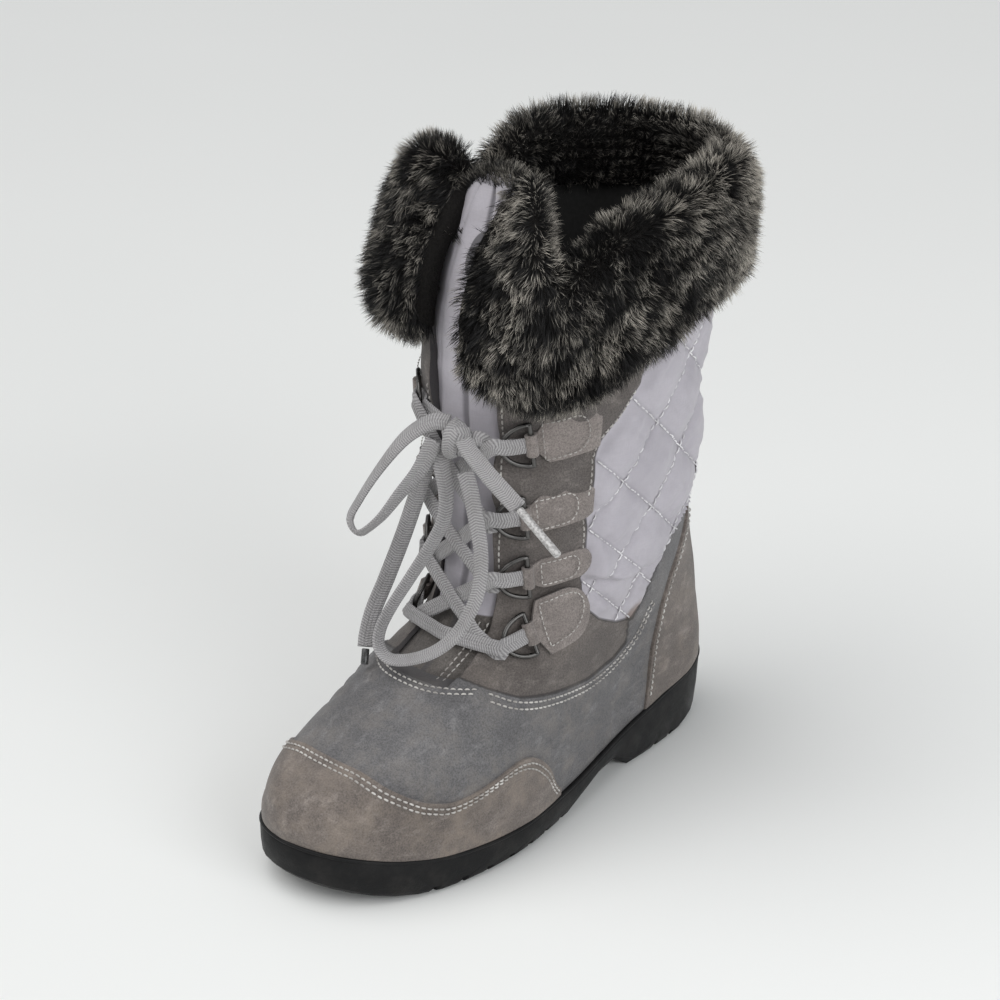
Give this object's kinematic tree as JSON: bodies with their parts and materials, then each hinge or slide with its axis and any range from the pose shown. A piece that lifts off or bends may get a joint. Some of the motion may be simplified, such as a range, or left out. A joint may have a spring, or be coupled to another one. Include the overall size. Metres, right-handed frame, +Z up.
{
  "type": "snow boot",
  "caption": "Left mid-calf lace-up snow boot with suede foot, quilted nylon shaft, turned-down fur cuff, padded tongue and rubber unit sole with a low heel.",
  "frame": {"origin": "middle of the boot's footprint on the floor, without the free lace", "axes": "+Z up out of the collar, toe towards -Y, lateral side towards +X"},
  "size_m": [0.1579, 0.2762, 0.2994],
  "materials": {
    "sole_rubber": "black moulded rubber, slightly satin",
    "insole_felt": "dark fleece sock lining",
    "upper_suede": "taupe-grey suede foot and facings, pale grey quilted nylon sides",
    "overlay_suede": "taupe-grey suede overlays with double stitching",
    "tongue_nylon": "light grey padded nylon",
    "fur": "black fur with frosted cream tips",
    "ring_metal": "dark nickel-plated wire, worn bright on the edges",
    "lace_braid": "flat braided grey lace",
    "aglet_plastic": "clear grey lace tip"
  },
  "bodies": {
    "root": {"outsole": "sole_rubber", "insole": "insole_felt", "upper": "upper_suede", "toe_cap": "overlay_suede", "heel_counter": "overlay_suede", "tongue": "tongue_nylon", "fur_cuff": "fur", "chape_lateral_1": "overlay_suede", "d_ring_lateral_1": "ring_metal", "chape_lateral_2": "overlay_suede", "d_ring_lateral_2": "ring_metal", "chape_lateral_3": "overlay_suede", "d_ring_lateral_3": "ring_metal", "chape_lateral_4": "overlay_suede", "d_ring_lateral_4": "ring_metal", "chape_medial_1": "overlay_suede", "d_ring_medial_1": "ring_metal", "chape_medial_2": "overlay_suede", "d_ring_medial_2": "ring_metal", "chape_medial_3": "overlay_suede", "d_ring_medial_3": "ring_metal", "chape_medial_4": "overlay_suede", "d_ring_medial_4": "ring_metal", "lace_crossings": "lace_braid", "lace_knot": "lace_braid", "lace_loop_1": "lace_braid", "lace_loop_2": "lace_braid", "lace_end_1": "lace_braid", "lace_end_2": "lace_braid", "aglet_1": "aglet_plastic", "aglet_2": "aglet_plastic"}
  },
  "joints": []
}
